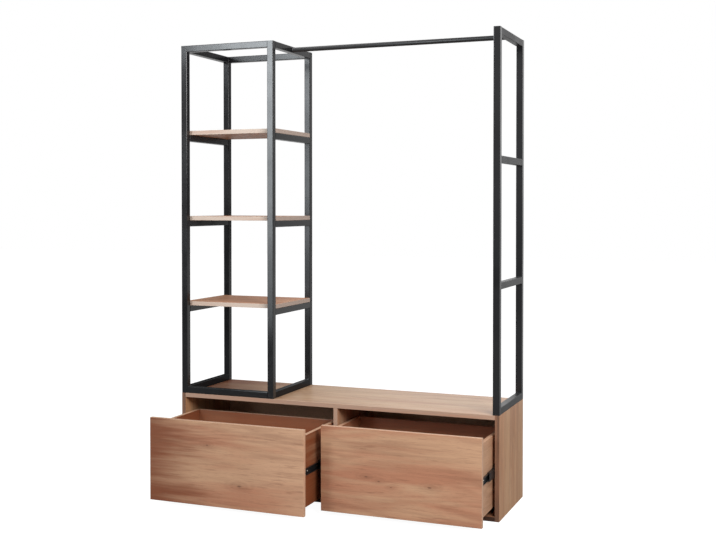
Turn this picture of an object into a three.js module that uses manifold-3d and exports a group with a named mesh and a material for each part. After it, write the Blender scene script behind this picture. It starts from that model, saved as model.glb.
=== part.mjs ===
// Open frame wardrobe: a low cabinet with two drawers, a shelf tower of square steel tube on its
// left end, a ladder frame of the same tube on its right end and a clothes rod between the two.
// Millimetres, +Z up, the drawers open towards -Y. The origin is the middle of the cabinet's
// footprint on the floor. The drawers stand as far open as in the photograph.
import * as THREE from 'three';
import { mergeVertices } from 'three/addons/utils/BufferGeometryUtils.js';
import Module from 'manifold-3d';

const wasm = await Module();
wasm.setup();

// Whole wardrobe
const overallWidth = 1400;
const overallDepth = 400;
const overallHeight = 1900;

// Cabinet boards
const cabinetHeight = 410;
const boardThickness = 18;
const boardEdgeRadius = 0.8;
const boardEdgeSteps = 2;
const backPanelThickness = 3;
const backPanelMargin = 1;
const leftBayWidth = 691;

// Drawer fronts, set into the bays
const frontGap = 3;
const fingerGap = 36;

// Drawer boxes
const boxDrop = 28;
const boxRise = 30;
const boxRearSpace = 29;
const boxBoardThickness = 16;
const boxBottomThickness = 3;
const boxBottomRise = 12;
const grooveDepth = 6;
const grooveClearance = 0.4;
const leftOpening = 285;
const rightOpening = 175;

// Telescopic slides: three channels of folded steel that run in one another on rows of balls
const slideWidth = 12.7;
const slideHeight = 45;
const slideSetback = 1;
const slideWall = 1.2;
const slideFoldRadius = 0.5;
const outerChannelDepth = 10;
const outerLip = 3;
const middleWebClearance = 0.8;
const middleChannelDepth = 8.7;
const middleLip = 2.6;
const middleShortening = 8;
const innerChannelDepth = 8;
const ballTrack = 3.7;
const ballClearance = 0.35;
const ballSeat = 0.4;
const ballsInRow = 5;
const ballRowMargin = 12;
const cageWidth = 4.4;
const cageThickness = 0.8;
const cageOverhang = 4;
const screwHole = 4.6;
const screwSlotLength = 9.5;
const screwHoleFacets = 16;
const screwHoleShares = [0.1, 0.37, 0.64, 0.91];

// Square tube
const tubeSize = 27;
const tubeWall = 1.5;
const tubeCornerRadius = 2;

// Shelf tower, its shelves measured from the top of the cabinet to their undersides
const towerWidth = 437;
const firstShelfHeight = 375;
const shelfPitch = 367.5;
const shelfCount = 3;
const shelfFit = 1;

// End frame, its crossbars measured from the top of the cabinet to their undersides
const lowerCrossbarHeight = 483;
const upperCrossbarHeight = 971;

// Clothes rod
const rodDiameter = 20;
const rodWall = 1.2;
const rodFacets = 48;

// Steps that round one corner of a drawn or folded section
const tubeCornerSteps = 3;
const foldSteps = 2;
// How far a cutting block runs past the face that it enters
const cutOverrun = 1;

// Places that follow from the sizes
const left = -overallWidth / 2;
const right = overallWidth / 2;
const front = -overallDepth / 2;
const back = overallDepth / 2;
const carcassDepth = overallDepth - backPanelThickness;
const bayFloor = boardThickness;
const bayHeight = cabinetHeight - 2 * boardThickness;
const frontHeight = bayHeight - frontGap - fingerGap;
const boxBase = bayFloor + boxRise;
const boxHeight = frontHeight + frontGap - boxDrop - boxRise;
const boxDepth = carcassDepth - boardThickness - boxRearSpace;
const slideLength = boxDepth;
const slideCentre = boxBase + boxHeight / 2;
const frameHeight = overallHeight - cabinetHeight;

// The three directions that a section can be drawn along
const width = new THREE.Vector3(1, 0, 0);
const depth = new THREE.Vector3(0, 1, 0);
const height = new THREE.Vector3(0, 0, 1);

function oakLaminate() {
  return new THREE.MeshStandardMaterial({ color: '#b28a6c', roughness: 0.55, metalness: 0 });
}

function thinBackingBoard() {
  return new THREE.MeshStandardMaterial({ color: '#8d6a50', roughness: 0.7, metalness: 0 });
}

function blackPowderCoat() {
  return new THREE.MeshStandardMaterial({ color: '#2a2b2e', roughness: 0.5, metalness: 0.3 });
}

function blackSlideSteel() {
  return new THREE.MeshStandardMaterial({ color: '#1b1b1d', roughness: 0.35, metalness: 0.8 });
}

const oak = oakLaminate();
const backing = thinBackingBoard();
const coat = blackPowderCoat();
const steel = blackSlideSteel();

const wardrobe = new THREE.Group();

function add(name, geometry, material, x, y, z) {
  const mesh = new THREE.Mesh(geometry, material);
  mesh.name = name;
  mesh.position.set(x, y, z);
  wardrobe.add(mesh);
}

function rectangle(sizeU, sizeV) {
  return [
    new THREE.Vector2(0, 0),
    new THREE.Vector2(sizeU, 0),
    new THREE.Vector2(sizeU, sizeV),
    new THREE.Vector2(0, sizeV),
  ];
}

// The outline through some square corners, each of them rounded by an arc of the given radius
function roundedOutline(corners, radius, steps) {
  const points = [];
  for (let i = 0; i < corners.length; i += 1) {
    const corner = corners[i];
    const before = corners[(i + corners.length - 1) % corners.length];
    const after = corners[(i + 1) % corners.length];
    const toBefore = before.clone().sub(corner);
    const toAfter = after.clone().sub(corner);
    const reach = Math.min(radius, toBefore.length() / 2, toAfter.length() / 2);
    toBefore.setLength(reach);
    toAfter.setLength(reach);
    const centre = corner.clone().add(toBefore).add(toAfter);
    for (let step = 0; step <= steps; step += 1) {
      const turn = (step / steps) * (Math.PI / 2);
      const point = centre.clone();
      point.addScaledVector(toAfter, -Math.cos(turn));
      point.addScaledVector(toBefore, -Math.sin(turn));
      points.push(point);
    }
  }
  return points;
}

// A section drawn out along one of the three directions, from 0 to its length. The section's
// first coordinate runs to the right and its second one up, but on an upright piece the second
// one runs to the back, and on a piece that runs to the right the first one does.
function drawnOut(section, length, direction, easing = { bevelEnabled: false }) {
  const geometry = new THREE.ExtrudeGeometry(section, { depth: length, ...easing });
  const turned = new THREE.Matrix4();
  if (direction === width) turned.makeBasis(depth, height, width);
  if (direction === depth) turned.makeBasis(width, height, depth.clone().negate());
  geometry.applyMatrix4(turned);
  if (direction === depth) geometry.translate(0, length, 0);
  return geometry;
}

// A board with eased edges whose thickness lies along the given direction
function board(sizeU, sizeV, thickness, across) {
  const core = rectangle(sizeU - 2 * boardEdgeRadius, sizeV - 2 * boardEdgeRadius);
  const geometry = drawnOut(new THREE.Shape(core), thickness - 2 * boardEdgeRadius, across, {
    bevelEnabled: true,
    bevelSize: boardEdgeRadius,
    bevelThickness: boardEdgeRadius,
    bevelSegments: boardEdgeSteps,
  });
  geometry.computeBoundingBox();
  const corner = geometry.boundingBox.min;
  geometry.translate(-corner.x, -corner.y, -corner.z);
  return geometry;
}

function solidOf(geometry) {
  const bare = geometry.clone();
  bare.deleteAttribute('normal');
  bare.deleteAttribute('uv');
  const merged = mergeVertices(bare);
  return new wasm.Manifold(new wasm.Mesh({
    numProp: 3,
    vertProperties: new Float32Array(merged.attributes.position.array),
    triVerts: new Uint32Array(merged.index.array),
  }));
}

function geometryOf(solid) {
  const mesh = solid.getMesh();
  const geometry = new THREE.BufferGeometry();
  geometry.setAttribute('position', new THREE.BufferAttribute(new Float32Array(mesh.vertProperties), 3));
  geometry.setIndex(new THREE.BufferAttribute(new Uint32Array(mesh.triVerts), 1));
  geometry.computeVertexNormals();
  return geometry;
}

// Six boards: the sides stand on the floor, the rest goes between them, and the thin back panel
// is nailed over their rear edges
function addCarcass() {
  const innerWidth = overallWidth - 2 * boardThickness;
  const side = board(carcassDepth, cabinetHeight, boardThickness, width);
  const lying = board(innerWidth, carcassDepth, boardThickness, height);
  const divider = board(carcassDepth, bayHeight, boardThickness, width);
  const backWidth = overallWidth - 2 * backPanelMargin;
  const backHeight = cabinetHeight - 2 * backPanelMargin;
  const backSection = new THREE.Shape(rectangle(backWidth, backHeight));
  const backBoard = drawnOut(backSection, backPanelThickness, depth);
  add('side_panel_left', side, oak, left, front, 0);
  add('side_panel_right', side, oak, right - boardThickness, front, 0);
  add('bottom_panel', lying, oak, left + boardThickness, front, 0);
  add('top_panel', lying, oak, left + boardThickness, front, cabinetHeight - boardThickness);
  add('divider_panel', divider, oak, left + boardThickness + leftBayWidth, front, bayFloor);
  add('back_panel', backBoard, backing,
    left + backPanelMargin, back - backPanelThickness, backPanelMargin);
}

// Half of a channel's section, from the middle of its web over the flange to the end of its lip
function channelHalf(channelDepth, channelHeight, lip) {
  const top = channelHeight / 2;
  const lipEnd = top - lip;
  return [
    [slideWall, top - slideWall],
    [channelDepth - slideWall, top - slideWall],
    [channelDepth - slideWall, lipEnd],
    [channelDepth, lipEnd],
    [channelDepth, top],
    [0, top],
  ];
}

// The same without a lip
function plainChannelHalf(channelDepth, channelHeight) {
  const top = channelHeight / 2;
  return [
    [slideWall, top - slideWall],
    [channelDepth, top - slideWall],
    [channelDepth, top],
    [0, top],
  ];
}

// A folded channel that runs to the back. Its web stands at 0 and it opens to the right, or to
// the left where opens is -1.
function channel(half, length, opens) {
  const mirrored = half.map(([across, up]) => [across, -up]).reverse();
  const corners = [...mirrored, ...half].map(([across, up]) => new THREE.Vector2(opens * across, up));
  if (opens < 0) corners.reverse();
  const section = new THREE.Shape(roundedOutline(corners, slideFoldRadius, foldSteps));
  return drawnOut(section, length, depth);
}

// A hole or a slot along the slide, to be cut through a web that stands at 0
function screwCut(cutLength) {
  const radius = screwHole / 2;
  const reach = (cutLength - screwHole) / 2;
  const section = new THREE.Shape();
  section.absarc(reach, 0, radius, -Math.PI / 2, Math.PI / 2, false);
  section.absarc(-reach, 0, radius, Math.PI / 2, (3 * Math.PI) / 2, false);
  const through = 2 * (slideWall + cutOverrun);
  const cut = drawnOut(section, through, width, {
    bevelEnabled: false,
    curveSegments: screwHoleFacets / 4,
  });
  cut.translate(-through / 2, 0, 0);
  return cut;
}

// A channel with round holes and slots in turn along the middle of its web
function screwedChannel(half, length, opens) {
  let solid = solidOf(channel(half, length, opens));
  screwHoleShares.forEach((share, index) => {
    const cut = screwCut(index % 2 === 0 ? screwHole : screwSlotLength);
    cut.translate(0, share * length, 0);
    solid = solid.subtract(solidOf(cut));
  });
  return geometryOf(solid);
}

// Balls from one end of a row to the other, in their cage. Each is pressed a little into the
// flange that carries it.
function ballRow(radius, start, end, x, z) {
  const cageSection = new THREE.Shape(rectangle(cageWidth, cageThickness));
  const cage = drawnOut(cageSection, end - start + 2 * cageOverhang, depth);
  cage.translate(x - cageWidth / 2, start - cageOverhang, z - cageThickness / 2);
  const pieces = [cage];
  for (let i = 0; i < ballsInRow; i += 1) {
    const ball = new THREE.OctahedronGeometry(radius, 1);
    const y = start + ((end - start) * i) / (ballsInRow - 1);
    ball.translate(x, y, z);
    pieces.push(ball);
  }
  return pieces;
}

// The middle channel carries the balls: those of the outer track in its rear half and those of the
// inner track in its front half, so that both stay in their tracks over the whole travel
function middleMember(opens) {
  const outerTop = slideHeight / 2 - slideWall;
  const middleTop = outerTop - ballTrack;
  const middleInside = middleTop - slideWall;
  const length = slideLength - middleShortening;
  const radius = (ballTrack - ballClearance + ballSeat) / 2;
  const outerBallPlace = middleTop - ballSeat + radius;
  const innerBallPlace = middleInside + ballSeat - radius;
  const across = (opens * middleChannelDepth) / 2;
  const half = length / 2;
  let solid = solidOf(channel(channelHalf(middleChannelDepth, 2 * middleTop, middleLip), length, opens));
  for (const up of [-1, 1]) {
    const outerRow = ballRow(radius, half + ballRowMargin, length - ballRowMargin,
      across, up * outerBallPlace);
    const innerRow = ballRow(radius, ballRowMargin, half - ballRowMargin,
      across, up * innerBallPlace);
    for (const piece of [...outerRow, ...innerRow]) solid = solid.add(solidOf(piece));
  }
  return geometryOf(solid);
}

// One slide between the bay's wall at wallX and the drawer box, which lies on the side that
// opens points to
function addSlide(name, wallX, opens, opening) {
  const behindFront = front + boardThickness;
  const innerHeight = slideHeight - 4 * slideWall - 4 * ballTrack;
  const webPlace = slideWall + middleWebClearance;
  const outerHalf = channelHalf(outerChannelDepth, slideHeight, outerLip);
  const innerHalf = plainChannelHalf(innerChannelDepth, innerHeight);
  const outer = screwedChannel(outerHalf, slideLength, opens);
  const inner = screwedChannel(innerHalf, slideLength, -opens);
  add(`${name}_outer`, outer, steel, wallX, behindFront + slideSetback, slideCentre);
  add(`${name}_middle`, middleMember(opens), steel,
    wallX + opens * webPlace, behindFront + slideSetback - opening / 2, slideCentre);
  add(`${name}_inner`, inner, steel,
    wallX + opens * slideWidth, behindFront - opening, slideCentre);
}

// Left or right side of a drawer box, with the groove for the bottom in its inner face
function boxSide(inwards) {
  const plain = board(boxDepth, boxHeight, boxBoardThickness, width);
  const grooveWidth = boxBottomThickness + grooveClearance;
  const grooveSection = new THREE.Shape(rectangle(grooveDepth + cutOverrun, grooveWidth));
  const groove = drawnOut(grooveSection, boxDepth + 2 * cutOverrun, depth);
  const grooveX = inwards > 0 ? boxBoardThickness - grooveDepth : -cutOverrun;
  groove.translate(grooveX, -cutOverrun, boxBottomRise);
  return geometryOf(solidOf(plain).subtract(solidOf(groove)));
}

// A drawer in the bay that starts at bayX, pulled out by its opening
function addDrawer(name, bayX, bayWidth, opening) {
  const frontWidth = bayWidth - 2 * frontGap;
  const boxWidth = bayWidth - 2 * slideWidth;
  const insideWidth = boxWidth - 2 * boxBoardThickness;
  const bottomWidth = insideWidth + 2 * (grooveDepth - grooveClearance);
  const backHeight = boxHeight - boxBottomRise - boxBottomThickness;
  const boxX = bayX + slideWidth;
  const frontY = front - opening;
  const boxY = frontY + boardThickness;
  const bottomZ = boxBase + boxBottomRise;
  const face = board(frontWidth, frontHeight, boardThickness, depth);
  const boxBack = board(insideWidth, backHeight, boxBoardThickness, depth);
  const bottomSection = new THREE.Shape(rectangle(bottomWidth, boxDepth));
  const bottom = drawnOut(bottomSection, boxBottomThickness, height);
  add(`${name}_front`, face, oak, bayX + frontGap, frontY, bayFloor + frontGap);
  add(`${name}_side_left`, boxSide(1), oak, boxX, boxY, boxBase);
  add(`${name}_side_right`, boxSide(-1), oak, boxX + boxWidth - boxBoardThickness, boxY, boxBase);
  add(`${name}_back`, boxBack, oak,
    boxX + boxBoardThickness, boxY + boxDepth - boxBoardThickness, bottomZ + boxBottomThickness);
  add(`${name}_bottom`, bottom, backing,
    boxX + boxBoardThickness - grooveDepth + grooveClearance, boxY, bottomZ);
  addSlide(`${name}_slide_left`, bayX, 1, opening);
  addSlide(`${name}_slide_right`, bayX + bayWidth, -1, opening);
}

function addDrawers() {
  const rightBayX = left + boardThickness + leftBayWidth + boardThickness;
  const rightBayWidth = right - boardThickness - rightBayX;
  addDrawer('left_drawer', left + boardThickness, leftBayWidth, leftOpening);
  addDrawer('right_drawer', rightBayX, rightBayWidth, rightOpening);
}

// Square tube, open at both ends, for a rail that is welded between two others
function rail(length, direction) {
  const section = new THREE.Shape(
    roundedOutline(rectangle(tubeSize, tubeSize), tubeCornerRadius, tubeCornerSteps),
  );
  const bore = rectangle(tubeSize - 2 * tubeWall, tubeSize - 2 * tubeWall);
  section.holes.push(new THREE.Path(bore.map((corner) => corner.addScalar(tubeWall))));
  return drawnOut(section, length, direction);
}

// Upright tube with a plate welded over its top
function post() {
  const section = new THREE.Shape(
    roundedOutline(rectangle(tubeSize, tubeSize), tubeCornerRadius, tubeCornerSteps),
  );
  const boreSection = new THREE.Shape(rectangle(tubeSize - 2 * tubeWall, tubeSize - 2 * tubeWall));
  const bore = drawnOut(boreSection, frameHeight - tubeWall + cutOverrun, height);
  bore.translate(tubeWall, tubeWall, -cutOverrun);
  return geometryOf(solidOf(drawnOut(section, frameHeight, height)).subtract(solidOf(bore)));
}

// Four posts, a rectangle of rails at the top, the same but open at the back at the foot, and a
// pair of side rails under each shelf
function addTower() {
  const innerLeft = left + tubeSize;
  const towerRight = left + towerWidth;
  const rightTube = towerRight - tubeSize;
  const backTube = back - tubeSize;
  const railAcross = rail(towerWidth - 2 * tubeSize, width);
  const railBack = rail(overallDepth - 2 * tubeSize, depth);
  const upright = post();
  add('tower_post_front_left', upright, coat, left, front, cabinetHeight);
  add('tower_post_front_right', upright, coat, rightTube, front, cabinetHeight);
  add('tower_post_back_left', upright, coat, left, backTube, cabinetHeight);
  add('tower_post_back_right', upright, coat, rightTube, backTube, cabinetHeight);
  const topRailZ = overallHeight - tubeSize;
  for (const [place, z] of [['base', cabinetHeight], ['top', topRailZ]]) {
    add(`tower_${place}_rail_front`, railAcross, coat, innerLeft, front, z);
    add(`tower_${place}_rail_left`, railBack, coat, left, front + tubeSize, z);
    add(`tower_${place}_rail_right`, railBack, coat, rightTube, front + tubeSize, z);
  }
  add('tower_top_rail_back', railAcross, coat, innerLeft, backTube, topRailZ);
  const shelfDepth = overallDepth - 2 * tubeSize - 2 * shelfFit;
  const shelf = board(towerWidth, shelfDepth, boardThickness, height);
  for (let i = 0; i < shelfCount; i += 1) {
    const shelfZ = cabinetHeight + firstShelfHeight + i * shelfPitch;
    const number = i + 1;
    add(`shelf_rail_left_${number}`, railBack, coat, left, front + tubeSize, shelfZ - tubeSize);
    add(`shelf_rail_right_${number}`, railBack, coat, rightTube, front + tubeSize, shelfZ - tubeSize);
    add(`shelf_${number}`, shelf, oak, left, front + tubeSize + shelfFit, shelfZ);
  }
}

function addEndFrame() {
  const x = right - tubeSize;
  const between = rail(overallDepth - 2 * tubeSize, depth);
  const railY = front + tubeSize;
  const upright = post();
  add('end_frame_post_front', upright, coat, x, front, cabinetHeight);
  add('end_frame_post_back', upright, coat, x, back - tubeSize, cabinetHeight);
  add('end_frame_base_rail', between, coat, x, railY, cabinetHeight);
  add('end_frame_crossbar_lower', between, coat, x, railY, cabinetHeight + lowerCrossbarHeight);
  add('end_frame_crossbar_upper', between, coat, x, railY, cabinetHeight + upperCrossbarHeight);
  add('end_frame_top_rail', between, coat, x, railY, overallHeight - tubeSize);
}

// Round tube from the tower's top rail to the end frame's, at the middle of their faces
function addClothesRod() {
  const length = overallWidth - towerWidth - tubeSize;
  const section = new THREE.Shape();
  section.absarc(0, 0, rodDiameter / 2, 0, 2 * Math.PI, false);
  const bore = new THREE.Path();
  bore.absarc(0, 0, rodDiameter / 2 - rodWall, 0, 2 * Math.PI, true);
  section.holes.push(bore);
  const geometry = drawnOut(section, length, width, {
    bevelEnabled: false,
    curveSegments: rodFacets / 2,
  });
  add('clothes_rod', geometry, coat, left + towerWidth, 0, overallHeight - tubeSize / 2);
}

addCarcass();
addDrawers();
addTower();
addEndFrame();
addClothesRod();

export default wardrobe;
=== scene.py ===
"""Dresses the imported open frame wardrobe: oak laminate boards, black powder coated tube, black
drawer slides and a plain studio. Everything is in metres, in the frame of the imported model."""

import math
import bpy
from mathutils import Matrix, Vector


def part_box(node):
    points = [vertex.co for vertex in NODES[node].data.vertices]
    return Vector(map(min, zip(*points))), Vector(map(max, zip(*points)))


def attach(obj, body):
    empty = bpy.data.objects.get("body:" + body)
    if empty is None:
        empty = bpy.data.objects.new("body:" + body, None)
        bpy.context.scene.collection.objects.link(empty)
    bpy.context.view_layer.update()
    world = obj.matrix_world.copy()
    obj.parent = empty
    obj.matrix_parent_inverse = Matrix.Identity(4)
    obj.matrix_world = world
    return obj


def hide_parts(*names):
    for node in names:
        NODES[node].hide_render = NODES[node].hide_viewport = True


bl_info = {
    "name": "Open Frame Wardrobe",
    "version": (1, 0, 0),
    "blender": (4, 5, 0),
    "location": "View3D > Sidebar > Wardrobe",
    "description": "Finishes, welds, fasteners and studio for an open frame wardrobe",
    "category": "Object",
}

import bmesh
import bpy
from bpy.props import FloatProperty, FloatVectorProperty, IntProperty, PointerProperty
from mathutils import Matrix, Vector

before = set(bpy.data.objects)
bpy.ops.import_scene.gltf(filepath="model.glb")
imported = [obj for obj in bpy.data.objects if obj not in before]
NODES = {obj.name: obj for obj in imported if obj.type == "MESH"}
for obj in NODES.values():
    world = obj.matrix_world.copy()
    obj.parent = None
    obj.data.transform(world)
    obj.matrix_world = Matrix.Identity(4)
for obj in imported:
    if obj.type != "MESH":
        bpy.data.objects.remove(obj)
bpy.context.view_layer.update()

X, Y, Z = 0, 1, 2
AXES = (Vector((1, 0, 0)), Vector((0, 1, 0)), Vector((0, 0, 1)))

# Tones are four places along a board's grain: where the dark tone is darkest and where it ends,
# and where the pale tone starts and where it is palest. Places far off the board give it one even
# tone. The dark tone has the heartwood colour and the pale one the sapwood colour; on most boards
# that have tones they are painted shade and painted light.
# Drawer fronts: heartwood and sapwood that also paint the light's fall-off, painted shade towards
# the left of the left front and painted light towards the right of the right front
FRONT_TONES = {"left": (-0.68, -0.38, -0.32, 0.02), "right": (-0.30, 0.10, 0.45, 1.35)}
# Cabinet's top: painted shade, darker towards the left where the tower stands over it
PAINTED_TOWER_SHADE_TONES = (-0.85, -0.15, 1.00, 2.00)
# Left drawer's outer side: painted shadow of the right drawer, darkest towards the front
PAINTED_SHADOW_TONES = (-0.50, -0.10, 8.0, 9.0)
# Right drawer's outer side: painted light, the whole board in the pale tone
PAINTED_LIGHT_TONES = (-4.0, -3.0, -2.0, -1.0)
# Painted shade: half and most of a board in the dark tone, for the shade inside the drawers and
# on the cabinet's bottom
HALF_PAINTED_SHADE_TONES = (5.0, -5.0, 8.0, 9.0)
DEEP_PAINTED_SHADE_TONES = (3.0, -11.0, 8.0, 9.0)
# How far the borders of the tones waver, and how strongly the tones cover the wood: the pale tone
# as sapwood and painted light, the dark tone as heartwood and painted shade
TONE_WAVER = 0.5
SAP_AND_LIGHT_STRENGTH = 0.8
HEART_AND_SHADE_STRENGTH = 0.9

# Noises of the wood: waves in a metre along and across the grain, detail, roughness, distortion
WOOD_NOISES = {
    "growth": (0.55, 6.5, 2.5, 0.5, 0.4),
    "broad": (0.8, 8.0, 3.0, 0.55, 0.0),
    "patches": (2.6, 21.0, 2.0, 0.5, 0.6),
    "streaks": (2.2, 46.0, 3.0, 0.6, 0.0),
    "flecks": (12.0, 165.0, 2.0, 0.5, 0.0),
    "fibres": (9.0, 620.0, 2.0, 0.6, 0.0),
    "pores": (34.0, 1150.0, 1.0, 0.5, 0.0),
}
# Marks of a noise: the two values between which a mark fades in, and its strength
WOOD_MARKS = {
    "streaks": (0.50, 0.72, 0.36),
    "flecks": (0.58, 0.76, 0.42),
    "fibres": (0.50, 0.75, 0.22),
    "pores": (0.62, 0.74, 0.35),
}
BAND_MARKS = (0.45, 0.70, 0.35)
THIN_BOARD_MARKS = (0.50, 0.72, 0.40)
# Light patches: the weight of the patches beside the broad noise, and where they fade in
PATCH_WEIGHT = 0.6
LIGHT_SPAN = (0.62, 0.94)
# Growth rings: how close they lie, the span of the wave that shows, and their strength where
# the growth is slow and where it is fast
RING_DENSITY = 95.0
RING_SPAN = (-0.9, 1.0)
RING_GROWTH = (0.35, 0.62)
RING_STRENGTH = (0.04, 0.20)
# Knots of the drawer fronts: x, z and half length
FRONT_KNOTS = {
    "left": ((-0.272, 0.113, 0.016), (-0.415, 0.264, 0.010)),
    "right": (
        (0.4765, 0.154, 0.014), (0.220, 0.172, 0.011), (0.272, 0.158, 0.009),
        (0.322, 0.140, 0.007),
    ),
}
# Share of the places for a knot that have one, on most boards and on the drawers' boxes
BOARD_KNOTS = 0.3
BOX_KNOTS = 0.2
# Scattered knots: places for one in a metre along and across the grain, waves of their outline,
# and the distances, in places, at which the wood about a knot and its heart fade in
KNOT_PLACES = (2.3, 5.6)
KNOT_WAVES = (3.0, 9.0)
KNOT_REACH = (0.42, 0.0)
KNOT_HEART_REACH = (0.085, 0.02)
# Placed knots: how many times longer than high they are, waves and depth of their outline, and
# the same distances in half lengths
PLACED_KNOT_SLIMNESS = 2.6
PLACED_KNOT_WAVES = (40, 40, 90)
PLACED_KNOT_RIPPLE = 0.5
PLACED_KNOT_REACH = (5.5, 0.4)
PLACED_KNOT_HEART_REACH = (1.1, 0.45)
# How far a knot bends the rings, and how strongly it darkens the wood about it and its heart
KNOT_PULL = 0.16
KNOT_STRENGTH = 0.3
KNOT_HEART_STRENGTH = 0.7
# Turns of the pattern that lay its grain along an axis, and its shift from board to board
GRAIN_TURNS = {X: (0, 0, 0), Y: (0, 0, -math.pi / 2), Z: (0, math.pi / 2, 0)}
BOARD_SHIFT = (3.7, 1.9, 2.3)
# How squarely a face looks along an axis where it begins to count as facing it, and where fully
SQUARE_ON = (0.55, 0.80)

# Values of a noise from which a roughness or a change of colour starts and at which it ends
NOISE_SPAN = (0.3, 0.7)
# Lowest and highest roughness of the boards, roughness of the varnish, and its share on most oak
OAK_ROUGHNESS = (0.40, 0.54)
THIN_BOARD_ROUGHNESS = (0.55, 0.70)
VARNISH_ROUGHNESS = 0.22
OAK_VARNISH = 0.3
# Bumps: strength and depth, and the weight of the pores beside the fibres in the oak's
OAK_BUMP = (0.12, 0.0004)
THIN_BOARD_BUMP = (0.15, 0.0003)
STEEL_BUMP = (0.08, 0.0002)
PORE_WEIGHT = -0.5
# Noises of the other finishes: waves in a metre along each axis, or along and across the grain,
# then detail and roughness
THIN_BOARD_CLOUDS = (3.0, 26.0, 3.0, 0.5)
THIN_BOARD_FIBRES = (160.0, 420.0, 3.0, 0.7)
COAT_PATCHES = ((7.0, 7.0, 7.0), 3.0, 0.55)
STEEL_LINES = ((900.0, 12.0, 900.0), 2.0, 0.6)
STEEL_WEAR = ((60.0, 60.0, 60.0), 3.0, 0.6)
STEEL_LINE_SPAN = (0.35, 0.7)
# Second colour of each finish, as a multiple of the first
THIN_BOARD_SHADE = 0.85
COAT_SHADE = 1.35
STEEL_SHADE = 1.5
# What is added to the roughness where a metal finish is smoothest and where it is roughest
COAT_CHANGE = (-0.03, 0.04)
STEEL_CHANGE = (-0.06, 0.08)
STEEL_METALLIC = 0.85
# Thin boards: the place of each one in the pattern
THIN_BOARDS = {"thin_board_bottoms": 7, "thin_board_back": 9}
# Powder coats: which reflection and which roughness of the finishes each one has
COATS = {
    "black_powder_coat": ("coat_reflection", "gloss_spread"),
    "foot_powder_coat": ("foot_reflection", "gloss_spread"),
    "flat_powder_coat": ("back_reflection", "gloss_spread"),
    "dull_powder_coat": ("dull_reflection", "dull_spread"),
    "rod_powder_coat": ("rod_reflection", "dull_spread"),
}
# Platings: which colour of the finishes each one has, and its roughness
PLATINGS = {"black_slide_steel": ("steel", 0.36), "zinc_plated": ("screw", 0.35)}

# Weld beads: sides, radius at the ends and between two ripples as shares of the full radius,
# and distance of a bead's ends from the corners of the rail
BEAD_SIDES = 8
BEAD_END = 0.55
BEAD_VALLEY = 0.86
BEAD_INSET = 0.002
# Weld at the ends of the rod: length and height of its shoulder and length of its slope, as
# shares of a bead's radius
SHOULDER_LENGTH = 0.6
SHOULDER_HEIGHT = 0.75
SLOPE_LENGTH = 0.8
# Domed heads: sides, then for each ring its radius and its rise as shares of the head's, and
# the depth of the recess for the driver
HEAD_SIDES = 16
HEAD_RINGS = ((0.98, 0.45), (0.86, 0.30), (0.62, 0.17), (0.34, 0.08))
RECESS_DEPTH = 0.55
# Places of the slide screws, as shares of a slide's length from its front end
SCREW_SHARES = (0.1, 0.64, 0.91)

# Zones of the room in gloss: an axis of the ray's direction, and where along it the zone fades
# in. X points right, Y to the back and Z up.
ROOM_ZONES = {
    "right of the dark left": (X, -0.42, -0.28),
    "dark right": (X, 0.445, 0.485),
    "upper part, from its left": (X, 0.10, 0.20),
    "upper part, from its right": (X, 0.42, 0.33),
    "upper part, from below": (Z, -0.04, 0.08),
    "above the floor": (Z, -0.15, 0.10),
    "right of the front": (X, -0.38, -0.28),
    "back": (Y, -0.25, 0.5),
}
# Middle of the bright part of the back, and how far from it that part fades in
BRIGHT_MIDDLE = -0.15
BRIGHT_SPAN = (0.33, 0.12)
# Zones of the floor in gloss, in metres
FLOOR_ZONES = {
    "behind": (Y, 1.0, 4.0),
    "in front": (Y, -2.4, -4.0),
    "right of the far left": (X, -1.8, -1.0),
}
# Colour of the floor, and how far it lies under the object
FLOOR_GREY = (0.28, 0.28, 0.28)
FLOOR_DROP = 0.0005
WHITE = (1.0, 1.0, 1.0)

# Lamps: place, point aimed at, width and height
KEY_LIGHT = ((2.65, -2.42, 2.4), (0.2, 0, 0.4), 1.6, 1.6)
TOP_LIGHT = ((0.5, -0.4, 4.2), (0.1, 0, 0.6), 2.6, 1.6)
# Strip lamps that the posts mirror: x, z, width, height and share of the power
STRIPS = {
    "rail": (-1.87, 2.75, 0.94, 0.9, 1.0),
    "high": (-1.68, 2.05, 0.58, 0.5, 0.95),
    "middle": (-1.67, 1.375, 0.56, 0.85, 0.6),
    "low": (-1.67, 0.65, 0.56, 0.6, 0.27),
}
STRIP_Y = -3.2
# X and y of the point that a strip aims at, at its own height
STRIP_AIM = (-0.3, -0.2)
STRIP_TINT = (0.90, 0.96, 1.0)
SENSOR_MILLIMETRES = 36
CAMERA_CLIP = (0.05, 200)


# Settings


def colour(name, about, default):
    return FloatVectorProperty(
        name=name, description=about, default=default, size=3, min=0, max=1, subtype="COLOR"
    )


def length(name, about, default, low=0.0, high=10.0):
    return FloatProperty(
        name=name, description=about, default=default, min=low, max=high,
        subtype="DISTANCE", unit="LENGTH", precision=5,
    )


def factor(name, about, default, low=0.0):
    return FloatProperty(
        name=name, description=about, default=default, min=low, max=1, subtype="FACTOR"
    )


def strength(name, about, default, unit="NONE"):
    return FloatProperty(name=name, description=about, default=default, min=0, unit=unit)


def angle(name, about, default):
    return FloatProperty(
        name=name, description=about, default=default, subtype="ANGLE", unit="ROTATION"
    )


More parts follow.
